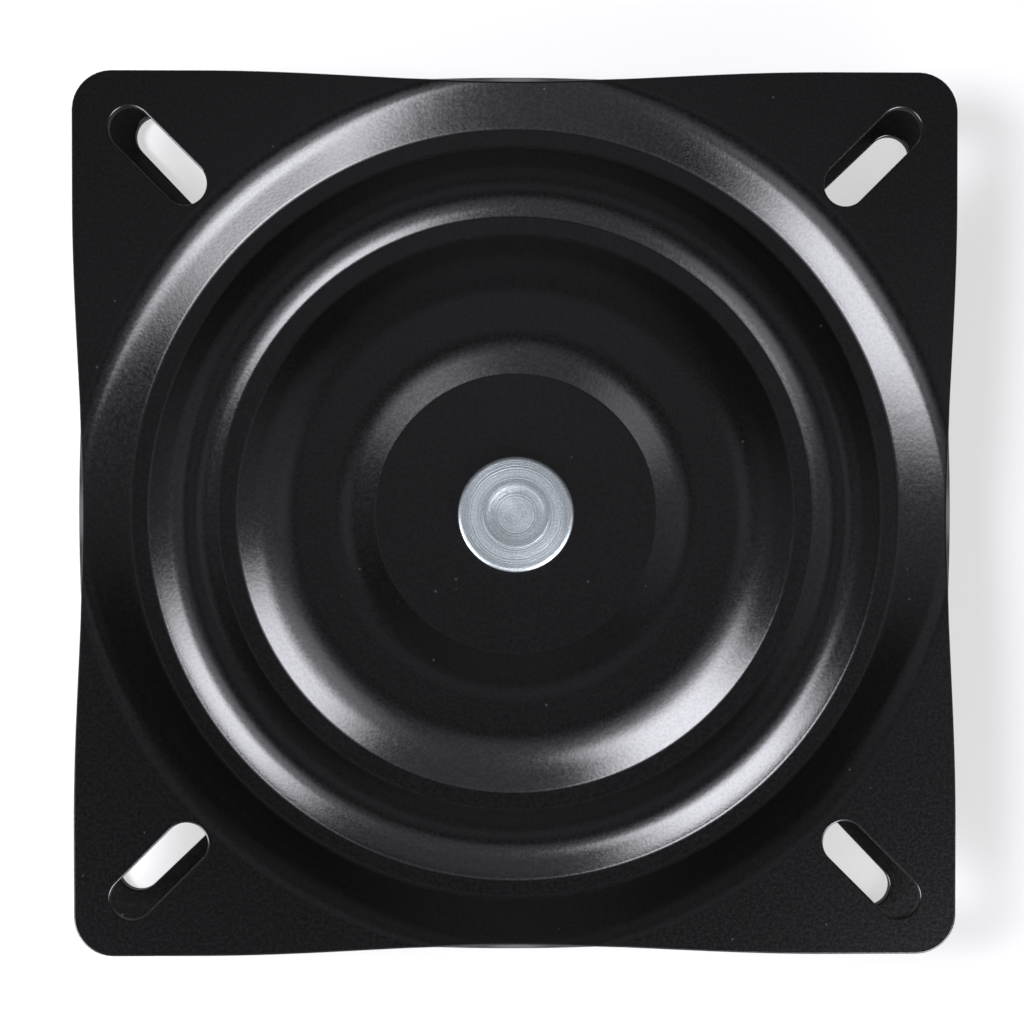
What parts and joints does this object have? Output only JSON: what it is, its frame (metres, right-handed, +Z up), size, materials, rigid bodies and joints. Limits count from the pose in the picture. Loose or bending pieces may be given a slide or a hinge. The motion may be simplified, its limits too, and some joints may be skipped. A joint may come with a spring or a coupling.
{
  "type": "boat seat swivel",
  "caption": "Low-profile square boat seat swivel: black pressed-steel plates that turn on a caged ball race about a centre rivet, with diagonal bolt slots at the corners.",
  "frame": {"origin": "on the swivel axis, on the plane of the base plate's mounting face", "axes": "+Z up the swivel axis towards the seat; X and Y along the base plate's sides"},
  "size_m": [0.182, 0.182, 0.0227],
  "materials": {
    "black_powder_coat": "semi-gloss black powder coat on pressed steel",
    "zinc_plate": "turned steel, bright zinc plated",
    "acetal": "natural white acetal",
    "bearing_steel": "polished bearing steel"
  },
  "bodies": {
    "base": {"base_plate": "black_powder_coat", "centre_rivet": "zinc_plate", "rivet_washer": "zinc_plate", "pivot_bush": "acetal"},
    "top": {"top_plate": "black_powder_coat"},
    "bearing": {"ball_cage": "acetal", "ball_01": "bearing_steel", "ball_02": "bearing_steel", "ball_03": "bearing_steel", "ball_04": "bearing_steel", "ball_05": "bearing_steel", "ball_06": "bearing_steel", "ball_07": "bearing_steel", "ball_08": "bearing_steel", "ball_09": "bearing_steel", "ball_10": "bearing_steel", "ball_11": "bearing_steel", "ball_12": "bearing_steel", "ball_13": "bearing_steel", "ball_14": "bearing_steel", "ball_15": "bearing_steel", "ball_16": "bearing_steel"}
  },
  "joints": [
    {"name": "seat_swivel", "type": "hinge", "parent": "base", "child": "top", "pos_m": [0, 0, 0.01136], "axis": [0, 0, 1], "continuous": true},
    {"name": "cage_spin", "type": "hinge", "parent": "base", "child": "bearing", "pos_m": [0, 0, 0.01136], "axis": [0, 0, 1], "continuous": true}
  ],
  "couplings": [
    {"joint": "cage_spin", "follows": "seat_swivel", "ratio": 0.5}
  ]
}
